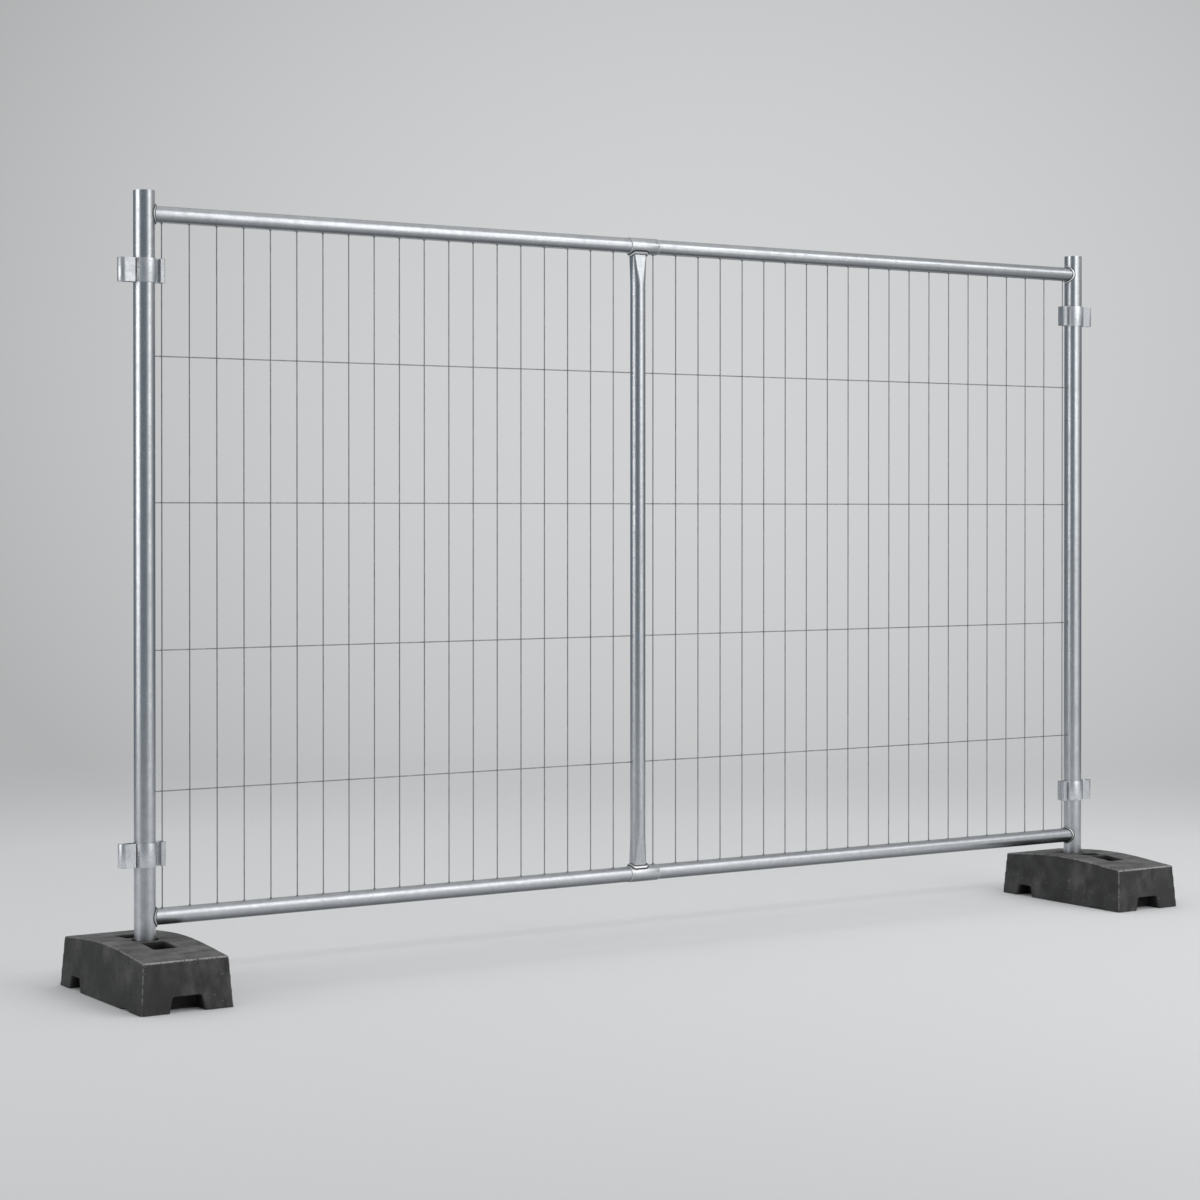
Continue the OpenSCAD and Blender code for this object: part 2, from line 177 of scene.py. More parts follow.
class Finish:
    """One procedural material, made from textures in the object's own metres."""

    def __init__(self, name, metallic):
        self.material = bpy.data.materials.new(name)
        self.material.use_nodes = True
        self.nodes = self.material.node_tree.nodes
        self.shader = self.nodes["Principled BSDF"]
        self.shader.inputs["Metallic"].default_value = metallic
        self.place = self.nodes.new("ShaderNodeTexCoord").outputs["Object"]

    def link(self, source, target):
        self.material.node_tree.links.new(source, target)

    def feed(self, value, socket):
        """Puts a plain value or another node's output into a socket."""
        if isinstance(value, bpy.types.NodeSocket):
            self.link(value, socket)
        else:
            socket.default_value = value

    def stretched(self, scale):
        mapping = self.nodes.new("ShaderNodeMapping")
        mapping.inputs["Scale"].default_value = scale
        self.link(self.place, mapping.inputs["Vector"])
        return mapping.outputs["Vector"]

    def noise(self, scale, detail, place=None):
        texture = self.nodes.new("ShaderNodeTexNoise")
        texture.inputs["Scale"].default_value = scale
        texture.inputs["Detail"].default_value = detail
        self.link(place or self.place, texture.inputs["Vector"])
        return texture.outputs["Fac"]

    def grains(self, scale):
        """Voronoi cells; returns the distance from their middles and a random tone for each."""
        texture = self.nodes.new("ShaderNodeTexVoronoi")
        texture.inputs["Scale"].default_value = scale
        self.link(self.place, texture.inputs["Vector"])
        split = self.nodes.new("ShaderNodeSeparateColor")
        self.link(texture.outputs["Color"], split.inputs["Color"])
        return texture.outputs["Distance"], split.outputs["Red"]

    def attribute(self, name):
        reader = self.nodes.new("ShaderNodeAttribute")
        reader.attribute_name = name
        return reader.outputs["Fac"]

    def part_of(self, vector, axis):
        split = self.nodes.new("ShaderNodeSeparateXYZ")
        self.link(vector, split.inputs["Vector"])
        return split.outputs[axis]

    def along_axis(self, axis):
        return self.part_of(self.place, axis)

    def facing_up(self):
        """1 where the surface faces up, -1 where it faces down."""
        geometry = self.nodes.new("ShaderNodeNewGeometry")
        return self.part_of(geometry.outputs["Normal"], "Z")

    def span(self, value, source, result=(0.0, 1.0)):
        """Maps one range of values to another, and holds the results at both ends."""
        node = self.nodes.new("ShaderNodeMapRange")
        for name, number in zip(("From Min", "From Max", "To Min", "To Max"), source + result):
            node.inputs[name].default_value = number
        self.link(value, node.inputs["Value"])
        return node.outputs["Result"]

    def maths(self, operation, first, second=0.0):
        node = self.nodes.new("ShaderNodeMath")
        node.operation = operation
        self.feed(first, node.inputs[0])
        self.feed(second, node.inputs[1])
        return node.outputs["Value"]

    def times(self, first, second):
        return self.maths("MULTIPLY", first, second)

    def plus(self, first, second):
        return self.maths("ADD", first, second)

    def away_from(self, value, middle):
        """How far a value lies from a plain number, on either side of it."""
        return self.maths("ABSOLUTE", self.maths("SUBTRACT", value, middle))

    def weighted(self, *terms):
        """Adds up values that are given with their weights."""
        shares = [self.times(value, weight) for value, weight in terms]
        total = shares[0]
        for share in shares[1:]:
            total = self.plus(total, share)
        return total

    def mix(self, share, first, second):
        """Goes from the first colour to the second as the share goes from 0 to 1."""
        node = self.nodes.new("ShaderNodeMix")
        node.data_type = "RGBA"
        self.feed(share, node.inputs[MIX_SHARE])
        self.feed(first, node.inputs[MIX_FIRST])
        self.feed(second, node.inputs[MIX_SECOND])
        return node.outputs[MIX_RESULT]

    def bump(self, height, distance, under=None):
        node = self.nodes.new("ShaderNodeBump")
        node.inputs["Strength"].default_value = 1.0
        node.inputs["Distance"].default_value = distance
        self.link(height, node.inputs["Height"])
        if under:
            self.link(under, node.inputs["Normal"])
        return node.outputs["Normal"]

    def done(self, colour, roughness, normal):
        self.link(colour, self.shader.inputs["Base Color"])
        self.link(roughness, self.shader.inputs["Roughness"])
        self.link(normal, self.shader.inputs["Normal"])
        return self.material


def grey(level, blue=0.0):
    """A grey in linear light, cooled by a share of blue."""
    return (level * (1 - blue), level, level * (1 + blue), 1.0)


def galvanised(name, along, tones, polish, ends=None):
    """Hot-dip zinc: faint crystals, streaks drawn along the tube, blotches, and dull patches near the floor.

    tones are the darker and the lighter colour, and polish is the roughness of each. Undersides get painted
    shade, except the lowest part of a high rail, which gets less of it, as if the floor lit it. ends are the
    two places along X where a short tube is cut; its cut faces are pale and dull.
    """
    zinc = Finish(name, metallic=1.0)
    drawn = zinc.stretched(tuple(0.06 if axis == along else 1.0 for axis in "xyz"))
    spangle_distance, spangle_tone = zinc.grains(scale=150.0)
    streaks = zinc.noise(scale=260.0, detail=3.0, place=drawn)
    patches = zinc.noise(scale=11.0, detail=5.0)
    blotches = zinc.noise(scale=52.0, detail=3.0)
    speckle = zinc.noise(scale=420.0, detail=2.0)
    tone = zinc.weighted((spangle_tone, 0.08), (streaks, 0.30), (patches, 0.30), (blotches, 0.32))
    usual_tones = (0.36, 0.64)
    height = zinc.along_axis("Z")
    low_down = zinc.span(height, (0.15, 0.75), (1.0, 0.0))
    dull = zinc.times(low_down, zinc.span(patches, (0.3, 0.7), (0.2, 1.0)))
    facing_up = zinc.facing_up()
    near_floor = zinc.span(height, (0.5, 1.0), (1.0, 0.0))
    # Painted shade: undersides are darkened, and on high rails the part facing straight down gets less of
    # it, as if lit by the floor.
    unlit_below = zinc.maths("MAXIMUM", near_floor, zinc.span(facing_up, (-0.97, -0.84), (0.25, 1.0)))
    painted_underside_shade = zinc.times(zinc.span(facing_up, (-0.72, -0.10), (0.82, 0.0)), unlit_below)
    weathered = grey(0.36, 0.05)
    shaded = grey(0.10, 0.08)
    colour = zinc.mix(zinc.span(tone, usual_tones), *tones)
    colour = zinc.mix(zinc.times(dull, 0.18), colour, weathered)
    colour = zinc.mix(painted_underside_shade, colour, shaded)
    roughness = zinc.plus(zinc.span(tone, usual_tones, polish), zinc.times(dull, 0.06))
    if ends:
        middle, half = (ends[0] + ends[1]) / 2, (ends[1] - ends[0]) / 2
        from_middle = zinc.away_from(zinc.along_axis("X"), middle)
        cut_end = zinc.span(from_middle, (half - 0.002, half - 0.001))
        cut_face = grey(0.62, 0.03)
        colour = zinc.mix(cut_end, colour, cut_face)
        roughness = zinc.plus(roughness, zinc.times(cut_end, 0.4))
        zinc.link(zinc.span(cut_end, (0.0, 1.0), (1.0, 0.0)), zinc.shader.inputs["Metallic"])
    peel = zinc.bump(speckle, distance=0.00001)
    crystals = zinc.span(spangle_distance, (0.0, 0.7))
    return zinc.done(colour, roughness, zinc.bump(crystals, distance=0.000015, under=peel))


def clip_sheet():
    """Galvanised pressed sheet: finer crystals than the tubes, scratched up and down, with spotty painted
    shade in its folds.
    """
    sheet = Finish("clip_sheet_zinc", metallic=1.0)
    spangle_distance, spangle_tone = sheet.grains(scale=230.0)
    scratches = sheet.noise(scale=900.0, detail=2.0, place=sheet.stretched((1.0, 1.0, 0.05)))
    patches = sheet.noise(scale=45.0, detail=4.0)
    tone = sheet.weighted((spangle_tone, 0.3), (patches, 0.7))
    usual_tones = (0.3, 0.7)
    from_middle = sheet.away_from(sheet.along_axis("X"), POST_SPACING / 2)
    past_ear = sheet.times(sheet.span(from_middle, EAR_FOLD_START, (0.0, 0.8)),
                           sheet.span(from_middle, EAR_FOLD_END, (1.0, 0.0)))
    past_tab = sheet.times(sheet.span(from_middle, TAB_FOLD_START, (0.0, 0.3)),
                           sheet.span(from_middle, TAB_FOLD_END, (1.0, 0.0)))
    spots = sheet.span(sheet.noise(scale=320.0, detail=3.0), (0.36, 0.6), (1.0, 0.45))
    # Painted shade, in spots, in the folds beside the ear and the tab.
    painted_fold_shade = sheet.times(sheet.plus(past_ear, past_tab), spots)
    tab_rim = sheet.span(from_middle, TAB_RIM, (0.35, 0.0))
    colour = sheet.mix(sheet.span(tone, usual_tones), grey(0.65, 0.035), grey(0.80, 0.03))
    colour = sheet.mix(sheet.times(painted_fold_shade, 0.85), colour, grey(0.06, 0.05))
    colour = sheet.mix(tab_rim, colour, grey(0.30, 0.04))
    roughness = sheet.span(tone, usual_tones, (0.46, 0.34))
    crystals = sheet.bump(spangle_distance, distance=0.00003)
    return sheet.done(colour, roughness, sheet.bump(scratches, distance=0.00002, under=crystals))


def mesh_wire():
    """Drawn wire with a thin dull zinc coat."""
    wire = Finish("mesh_wire_zinc", metallic=1.0)
    patches = wire.noise(scale=30.0, detail=5.0)
    specks = wire.noise(scale=700.0, detail=2.0)
    colour = wire.mix(wire.span(patches, (0.35, 0.65)), grey(0.25, 0.02), grey(0.36, 0.02))
    roughness = wire.span(specks, (0.3, 0.7), (0.40, 0.55))
    return wire.done(colour, roughness, wire.bump(specks, distance=0.00004))


def weld_bead():
    """Weld metal, bright on its crown and dark along both toes, partly with scale and partly with painted
    shade.
    """
    bead = Finish("weld_bead_metal", metallic=1.0)
    patches = bead.noise(scale=160.0, detail=4.0)
    uneven_toe = bead.plus(bead.attribute("toe"), bead.times(patches, 0.3))
    # Scale along the toes, together with painted shade where the bead meets the tube.
    scale_and_toe_shade = bead.span(uneven_toe, (0.45, 0.75))
    crown = bead.mix(bead.span(patches, (0.3, 0.7)), grey(0.52, 0.01), grey(0.74, 0.01))
    colour = bead.mix(scale_and_toe_shade, crown, grey(0.05, 0.05))
    roughness = bead.span(scale_and_toe_shade, (0.0, 1.0), (0.27, 0.7))
    grain = bead.noise(scale=900.0, detail=3.0)
    return bead.done(colour, roughness, bead.bump(grain, distance=0.0001))


def fastener_zinc():
    """Bright plated steel with turned and handled marks."""
    plate = Finish("fastener_plating", metallic=1.0)
    patches = plate.noise(scale=120.0, detail=4.0)
    marks = plate.noise(scale=1500.0, detail=2.0)
    colour = plate.mix(plate.span(patches, (0.3, 0.7)), grey(0.48, 0.02), grey(0.66, 0.01))
    roughness = plate.span(patches, (0.3, 0.7), (0.38, 0.24))
    return plate.done(colour, roughness, plate.bump(marks, distance=0.00003))


def foot_rubber():
    """Pressed rubber granules: charcoal, dusty, scratched, chalky on rubbed edges, with painted shade in its
    holes.
    """
    rubber = Finish("foot_rubber_granules", metallic=0.0)
    granule_distance, granule_tone = rubber.grains(scale=290.0)
    speck_distance, speck_tone = rubber.grains(scale=85.0)
    cloud = rubber.noise(scale=9.0, detail=6.0)
    smear = rubber.noise(scale=38.0, detail=5.0, place=rubber.stretched((1.0, 0.5, 0.45)))
    drift = rubber.noise(scale=30.0, detail=5.0, place=rubber.stretched((0.45, 1.0, 1.0)))
    scuff = rubber.noise(scale=110.0, detail=4.0)
    winding = rubber.noise(scale=14.0, detail=1.0)
    colour = rubber.mix(granule_tone, grey(0.019), grey(0.034))
    clinging = rubber.times(rubber.span(cloud, (0.38, 0.68), (0.1, 1.0)),
                            rubber.span(smear, (0.38, 0.66), (0.0, 0.42)))
    settled = rubber.times(rubber.span(rubber.facing_up(), (0.3, 0.95)),
                           rubber.span(drift, (0.35, 0.65), (0.30, 0.78)))
    colour = rubber.mix(rubber.plus(clinging, settled), colour, grey(0.165, -0.01))
    scratch = rubber.times(rubber.span(rubber.away_from(winding, 0.5), (0.0012, 0.003), (1.0, 0.0)),
                           rubber.span(cloud, (0.5, 0.6), (0.0, 0.5)))
    colour = rubber.mix(scratch, colour, grey(0.14, -0.01))
    speck = rubber.times(rubber.span(speck_distance, (0.10, 0.16), (1.0, 0.0)), speck_tone)
    colour = rubber.mix(rubber.span(speck, (0.6, 0.9), (0.0, 0.7)), colour, grey(0.28, -0.01))
    rubbed = rubber.times(rubber.attribute("edge"), rubber.span(scuff, (0.32, 0.56), (0.1, 1.0)))
    colour = rubber.mix(rubber.span(rubbed, (0.1, 0.6), (0.0, 0.85)), colour, grey(0.40, -0.01))
    # Painted shade: the holds, slots and socket are darkened nearly to black.
    inside = rubber.span(rubber.attribute("inside"), (0.0, 1.0), (0.0, 0.9))
    colour = rubber.mix(inside, colour, grey(0.003))
    roughness = rubber.span(granule_tone, (0.0, 1.0), (0.62, 0.85))
    granules = rubber.bump(granule_distance, distance=0.0006)
    grain = rubber.noise(scale=900.0, detail=3.0)
    return rubber.done(colour, roughness, rubber.bump(grain, distance=0.0002, under=granules))


TUBE_TONES = (grey(0.50, 0.04), grey(0.65, 0.035))
TUBE_POLISH = (0.33, 0.26)
SLEEVE_TONES = (grey(0.56, 0.03), grey(0.70, 0.03))
SLEEVE_POLISH = (0.34, 0.27)
POST_ZINC = galvanised("galvanised_upright", "z", TUBE_TONES, TUBE_POLISH)
RAIL_ZINC = galvanised("galvanised_rail", "x", TUBE_TONES, TUBE_POLISH)
SLEEVE_ZINC = galvanised("galvanised_sleeve", "x", SLEEVE_TONES, SLEEVE_POLISH, SLEEVE_SPAN)
CLIP_ZINC = clip_sheet()
WIRE_ZINC = mesh_wire()
BEAD_METAL = weld_bead()
FASTENER_ZINC = fastener_zinc()
FOOT_RUBBER = foot_rubber()

# The finish of each CAD node, by the end of its name
FINISHES = {
    "foot": FOOT_RUBBER,
    "post": POST_ZINC,
    "centre_bar": POST_ZINC,
    "rail": RAIL_ZINC,
    "sleeve": SLEEVE_ZINC,
    "uprights": WIRE_ZINC,
    "crosswires": WIRE_ZINC,
    "welds": BEAD_METAL,
    "shell": CLIP_ZINC,
    "bolt": FASTENER_ZINC,
    "washer": FASTENER_ZINC,
    "weld_nut": FASTENER_ZINC,
}


def dress(piece, material):
    piece.data.materials.clear()
    piece.data.materials.append(material)


for node_name, node_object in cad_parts.items():
    dress(node_object, next(FINISHES[ending] for ending in FINISHES if node_name.endswith(ending)))


def soften_edges(piece, width):
    """Breaks the sharp edges of a CAD piece with a small rounded bevel."""
    weld = piece.modifiers.new("joined", "WELD")
    weld.merge_threshold = SAME_POINT
    bevel = piece.modifiers.new("rounded", "BEVEL")
    bevel.width = width
    bevel.segments = 2
    bevel.limit_method = "ANGLE"
    bevel.angle_limit = BROKEN_EDGE_ANGLE


for clip in CLIPS:
    for part in ("front_shell", "rear_shell", "bolt", "washer", "weld_nut"):
        soften_edges(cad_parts[f"{clip}_{part}"], PRESSED_EDGE)
for sleeve in ("top_sleeve", "bottom_sleeve"):
    soften_edges(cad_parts[sleeve], SLEEVE_EDGE)


# Weld beads


def add_bead(builder, toe_layer, leg, corners, along_first, along_second, seed):
    """Lays a rippled quarter-round bead of a given leg in a closed corner.

    corners are the points of the corner, and the two lists give, at each of them, the directions along
    the two surfaces that the bead joins.
    """
    last_step = BEAD_PROFILE_STEPS - 1
    rings = []
    travelled = 0.0
    for index, corner in enumerate(corners):
        travelled += (corner - corners[index - 1]).length if index else 0.0
        ripple = BEAD_RIPPLE * math.cos(2 * math.pi * travelled / BEAD_RIPPLE_PITCH)
        wander = BEAD_WANDER * noise.noise(Vector((travelled * BEAD_WANDER_SCALE, seed, 0.0)))
        reach = leg * (1.0 + ripple + wander)
        root = builder.verts.new(corner - BEAD_ROOT_DEPTH * (along_first[index] + along_second[index]))
        root[toe_layer] = 1.0
        ring = [root]
        for step in range(BEAD_PROFILE_STEPS):
            turn = math.pi / 2 * step / last_step
            offset = along_first[index] * math.cos(turn) + along_second[index] * math.sin(turn)
            vertex = builder.verts.new(corner + reach * offset)
            vertex[toe_layer] = abs(step / last_step - 0.5) * 2
            ring.append(vertex)
        rings.append(ring)
    for index, ring in enumerate(rings):
        following = rings[(index + 1) % len(rings)]
        for step in range(len(ring)):
            beside = (step + 1) % len(ring)
            builder.faces.new((ring[step], ring[beside], following[beside], following[step]))


def smoothed(mesh):
    for face in mesh.polygons:
        face.use_smooth = True
    return mesh


def finished_mesh(builder, name):
    bmesh.ops.recalc_face_normals(builder, faces=builder.faces)
    mesh = bpy.data.meshes.new(name)
    builder.to_mesh(mesh)
    builder.free()
    return smoothed(mesh)


def rail_beads():
    """The beads in the saddles where the rails meet the posts."""
    builder = bmesh.new()
    toe_layer = builder.verts.layers.float.new("toe")
    for seed, (height, post_x) in enumerate((z, x) for z in RAIL_HEIGHTS for x in (0.0, POST_SPACING)):
        inward = 1.0 if post_x == 0.0 else -1.0
        corners, along_rail, along_post = [], [], []
        for step in range(RAIL_BEAD_STEPS):
            turn = 2 * math.pi * step / RAIL_BEAD_STEPS
            y, z = RAIL_RADIUS * math.cos(turn), RAIL_RADIUS * math.sin(turn)
            reach = math.sqrt(POST_RADIUS ** 2 - y ** 2)
            outward = Vector((inward * reach, y, 0.0)).normalized()
            away = Vector((0.0, math.cos(turn), math.sin(turn)))
            away = (away - outward * away.dot(outward)).normalized()
            corners.append(Vector((post_x + inward * reach, y, height + z)))
            along_rail.append(Vector((inward, 0.0, 0.0)))
            along_post.append(away)
        add_bead(builder, toe_layer, RAIL_WELD_LEG, corners, along_rail, along_post, seed)
    return shown("rail_end_beads", finished_mesh(builder, "rail_end_beads"))


def bar_end_outline():
    """Points and outward directions round a pressed end of the centre bar, in plan."""
    corner_x = BAR_END_WIDTH / 2 - BAR_END_CORNER
    corner_y = BAR_END_THICKNESS / 2 - BAR_END_CORNER
    quarters = ((1, 1), (-1, 1), (-1, -1), (1, -1))
    corners = [Vector((x * corner_x, y * corner_y, 0.0)) for x, y in quarters]
    for quarter, corner in enumerate(corners):
        for step in range(BAR_CORNER_STEPS + 1):
            turn = math.pi / 2 * (quarter + step / BAR_CORNER_STEPS)
            outward = Vector((math.cos(turn), math.sin(turn), 0.0))
            yield corner + BAR_END_CORNER * outward, outward
        following = corners[(quarter + 1) % len(corners)]
        for step in range(1, BAR_SIDE_STEPS):
            yield corner.lerp(following, step / BAR_SIDE_STEPS) + BAR_END_CORNER * outward, outward


def bar_beads():
    """The beads round the pressed ends of the centre bar, on the two sleeves."""
    builder = bmesh.new()
    toe_layer = builder.verts.layers.float.new("toe")
    for seed, (height, side) in enumerate(zip(RAIL_HEIGHTS, (-1.0, 1.0)), BAR_BEAD_SEED):
        corners, along_bar, along_sleeve = [], [], []
        for point, outward in bar_end_outline():
            rise = side * math.sqrt(SLEEVE_RADIUS ** 2 - point.y ** 2)
            upright = Vector((0.0, point.y, rise)).normalized()
            corners.append(Vector((BAR_X + point.x, point.y, height + rise)))
            along_bar.append(Vector((0.0, 0.0, side)))
            along_sleeve.append((outward - upright * outward.dot(upright)).normalized())
        add_bead(builder, toe_layer, BAR_WELD_LEG, corners, along_bar, along_sleeve, seed)
    return shown("bar_end_beads", finished_mesh(builder, "bar_end_beads"))


for bead_piece, bead_node in ((rail_beads(), "rail_welds"), (bar_beads(), "bar_welds")):
    dress(bead_piece, BEAD_METAL)
    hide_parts(bead_node)
    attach(bead_piece, "frame")


# Wire joints


def add_nugget(builder, centre, size, seed):
    """A small uneven lump of melted wire."""
    seed_offset = Vector((seed * NUGGET_SEED_STEP, 0.0, 0.0))
    rows = []
    for row in range(NUGGET_ROWS):
        tilt = math.pi * (row + 0.5) / NUGGET_ROWS
        ring = []
        for step in range(NUGGET_AROUND):
            turn = 2 * math.pi * step / NUGGET_AROUND
            way = Vector((math.sin(tilt) * math.cos(turn), math.sin(tilt) * math.sin(turn), math.cos(tilt)))
            swell = 1.0 + NUGGET_SWELL * noise.noise(way * NUGGET_SWELL_SCALE + seed_offset)
            ring.append(builder.verts.new(centre + way * size * swell))
        rows.append(ring)
    for upper, lower in zip(rows, rows[1:]):
        for step in range(NUGGET_AROUND):
            beside = (step + 1) % NUGGET_AROUND
            builder.faces.new((upper[step], upper[beside], lower[beside], lower[step]))
    builder.faces.new(rows[0])
    builder.faces.new(rows[-1])


def upright_places():
    for first, last, count in (LEFT_BAY, RIGHT_BAY):
        for index in range(count):
            yield first + (last - first) * index / (count - 1)


def wire_end_nuggets():
    """Lumps where the wires are welded to the rails, the posts and the centre bar."""
    builder = bmesh.new()
    seed = 0
    for x in upright_places():
        on_sleeve = SLEEVE_SPAN[0] - SLEEVE_MARGIN < x < SLEEVE_SPAN[1] + SLEEVE_MARGIN
        seat = SLEEVE_RADIUS if on_sleeve else RAIL_RADIUS
        for z in (RAIL_HEIGHTS[0] - seat - NUGGET_LIFT, RAIL_HEIGHTS[1] + seat + NUGGET_LIFT):
            add_nugget(builder, Vector((x, UPRIGHT_Y, z)), NUGGET_AT_RAIL, seed)
            seed += 1
    for x in (POST_RADIUS, BAR_X - BAR_RADIUS, BAR_X + BAR_RADIUS, POST_SPACING - POST_RADIUS):
        for z in CROSS_HEIGHTS:
            add_nugget(builder, Vector((x, CROSS_Y, z)), NUGGET_AT_POST_OR_BAR, seed)
            seed += 1
    return shown("wire_end_nuggets", finished_mesh(builder, "wire_end_nuggets"))


def wire_cross_nuggets():
    """The squeezed metal at each crossing of two wires."""
    builder = bmesh.new()
    crossings = [(x, z) for x in upright_places() for z in CROSS_HEIGHTS]
    for seed, (x, z) in enumerate(crossings, CROSSING_SEED):
        add_nugget(builder, Vector((x, 0.0, z)), NUGGET_AT_CROSSING, seed)
    return shown("wire_cross_nuggets", finished_mesh(builder, "wire_cross_nuggets"))


for nuggets in (wire_end_nuggets(), wire_cross_nuggets()):
    dress(nuggets, WIRE_ZINC)
    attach(nuggets, "frame")


# Moulded feet


def mesh_values(items, name):
    """The places or directions of a mesh's items, as an array of rows of three."""
    values = np.zeros(len(items) * 3)
    items.foreach_get(name, values)
    return values.reshape(-1, 3)


def foot_top(along):
    """The height of a foot's top in the CAD, at distances from the foot's middle."""
    shoulder = FOOT_LENGTH / 2 - FOOT_DRAFT - FOOT_FACET
    shoulder_height = FOOT_CREST - FOOT_CROWN
    crown = FOOT_CREST - FOOT_CROWN * (along / shoulder) ** 2
    facet = shoulder_height - (shoulder_height - FOOT_END) * (along - shoulder) / FOOT_FACET
    return np.minimum(crown, facet)


def arched(places, middle):
    """Points with the upper part of a foot drawn down to a top that falls gently towards both ends."""
    along = np.abs(places[:, 1] - middle[1])
    crown = FOOT_CREST - (FOOT_CREST - FOOT_ARCH_SHOULDER_HEIGHT) * (along / FOOT_ARCH_SHOULDER) ** 2
    fall = (FOOT_ARCH_SHOULDER_HEIGHT - FOOT_END) / (FOOT_LENGTH / 2 - FOOT_DRAFT - FOOT_ARCH_SHOULDER)
    facet = FOOT_ARCH_SHOULDER_HEIGHT - fall * (along - FOOT_ARCH_SHOULDER)
    shown_top = np.where(along < FOOT_ARCH_SHOULDER, crown, facet)
    cad_top = foot_top(along)
    drawn_down = np.minimum(shown_top - cad_top, 0.0)
    share = np.clip((places[:, 2] - FOOT_ARCH_FOOTING) / (cad_top - FOOT_ARCH_FOOTING), 0.0, 1.0)
    lower = places.copy()
    lower[:, 2] += share * drawn_down
    return lower


def below_outer_form(places, middle):
    """How deep points lie under the sides, the ends and the top of a foot that had no holes."""
    across = np.abs(places[:, 0] - middle[0])
    along = np.abs(places[:, 1] - middle[1])
    height = places[:, 2]
    side = FOOT_WIDTH / 2 - FOOT_DRAFT * height / FOOT_CREST - across
    end = FOOT_LENGTH / 2 - FOOT_DRAFT * height / FOOT_END - along
    return side, end, foot_top(along) - height


def rubbed_edges(side, end, top):
    """1 on the top edges of the two ends, about half on the other outer edges, and 0 away from them."""
    end_top = 1.0 - np.maximum(end, top) / RUB_REACH
    side_top = RUB_SIDE_TOP - RUB_SIDE_TOP * np.maximum(side, top) / RUB_REACH
    side_end = RUB_SIDE_END - RUB_SIDE_END * np.maximum(side, end) / RUB_REACH
    return np.clip(np.maximum(end_top, np.maximum(side_top, side_end)), 0.0, 1.0)


def inside_holes(side, end, top, height):
    """How much painted shade a point gets: 1 in the socket, the slots and the holds, 0 on the outer skin and
    underneath.
    """
    depth = np.minimum(np.minimum(side, end), top)
    within = np.clip((depth - HOLE_DEPTH) / HOLE_DEPTH_RUN, 0.0, 1.0)
    return within * np.clip(height / HOLE_FLOOR_RUN, 0.0, 1.0)


def flattened(places, middle):
    """Points with those near a plain outer face drawn onto it, away from its edges."""
    side, end, top = below_outer_form(places, middle)
    outward = np.sign(places[:, :2] - np.array(middle))
    faces = (
        (0, side, np.minimum(end, top), outward[:, 0]),
        (1, end, np.minimum(side, top), outward[:, 1]),
        (2, top, np.minimum(side, end), 1.0),
    )
    flat = places.copy()
    for axis, depth, from_edge, direction in faces:
        clear_of_edge = np.clip((from_edge - FLAT_EDGE) / FLAT_EDGE_RUN, 0.0, 1.0)
        share = np.where(np.abs(depth) < FLAT_REACH, clear_of_edge, 0.0)
        flat[:, axis] += share * depth * direction
    return flat


def add_values(mesh, name, values):
    mesh.attributes.new(name, "FLOAT", "POINT").data.foreach_set("value", values.astype(np.float32))


def unevenness(place):
    """The height of the skin's lumps at a point, as a share of FOOT_LUMP_HEIGHT."""
    return sum(share * noise.noise(Vector(place) * scale) for scale, share in FOOT_LUMP_SCALES_AND_SHARES)


def moulded_skin(piece):
    """The mesh of a foot with its edges rounded, except round the underside, which the floor cuts off."""
    for vertex in piece.data.vertices:
        if vertex.co.z < FOOT_UNDERSIDE:
            vertex.co.z = FOOT_LOWERED
    joined = piece.modifiers.new("joined", "WELD")
    joined.merge_threshold = SAME_POINT
    skin = piece.modifiers.new("skin", "REMESH")
    skin.mode = "VOXEL"
    skin.voxel_size = FOOT_VOXEL
    rounding = piece.modifiers.new("rounding", "SMOOTH")
    rounding.factor = FOOT_ROUNDING
    rounding.iterations = FOOT_ROUNDING_PASSES
    bpy.context.view_layer.update()
    shaped = bpy.data.meshes.new_from_object(piece.evaluated_get(bpy.context.evaluated_depsgraph_get()))
    piece.modifiers.clear()
    return shaped


def moulded_foot(side):
    """A foot with rounded edges, an arched top and the slightly uneven skin of pressed rubber granules."""
    node = f"{side}_foot"
    middle = FOOT_MIDDLES[side]
    piece = shown(f"{side}_foot_moulding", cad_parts[node].data.copy())
    shaped = moulded_skin(piece)
    piece.data = shaped
    places = flattened(mesh_values(shaped.vertices, "co"), middle)
    depths = below_outer_form(places, middle)
    add_values(shaped, "edge", rubbed_edges(*depths))
    add_values(shaped, "inside", inside_holes(*depths, places[:, 2]))
    places = arched(places, middle)
    lumps = np.array([unevenness(place) for place in places])
    places += mesh_values(shaped.vertices, "normal") * FOOT_LUMP_HEIGHT * lumps[:, None]
    places[:, 2] = np.maximum(places[:, 2], 0.0)
    shaped.vertices.foreach_set("co", places.ravel())
    shaped.update()
    smoothed(shaped)
    dress(piece, FOOT_RUBBER)
    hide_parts(node)
    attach(piece, node)


for foot_side in FOOT_MIDDLES:
    moulded_foot(foot_side)


# Camera


def photograph_camera():
    data = bpy.data.cameras.new("photograph")
    data.sensor_width = CAMERA_SENSOR
    data.lens = CAMERA_LENS
    data.shift_y = CAMERA_SHIFT_UP
    data.clip_end = CAMERA_REACH
    camera = bpy.data.objects.new("photograph", data)
    camera.location = CAMERA_PLACE
    camera.rotation_euler = (math.pi / 2 + CAMERA_PITCH, 0.0, -CAMERA_YAW)
    bpy.context.scene.collection.objects.link(camera)
    bpy.context.scene.camera = camera


photograph_camera()


# Studio: a pale floor that runs out into a grey surround, softboxes, and dark cards that metal reflects


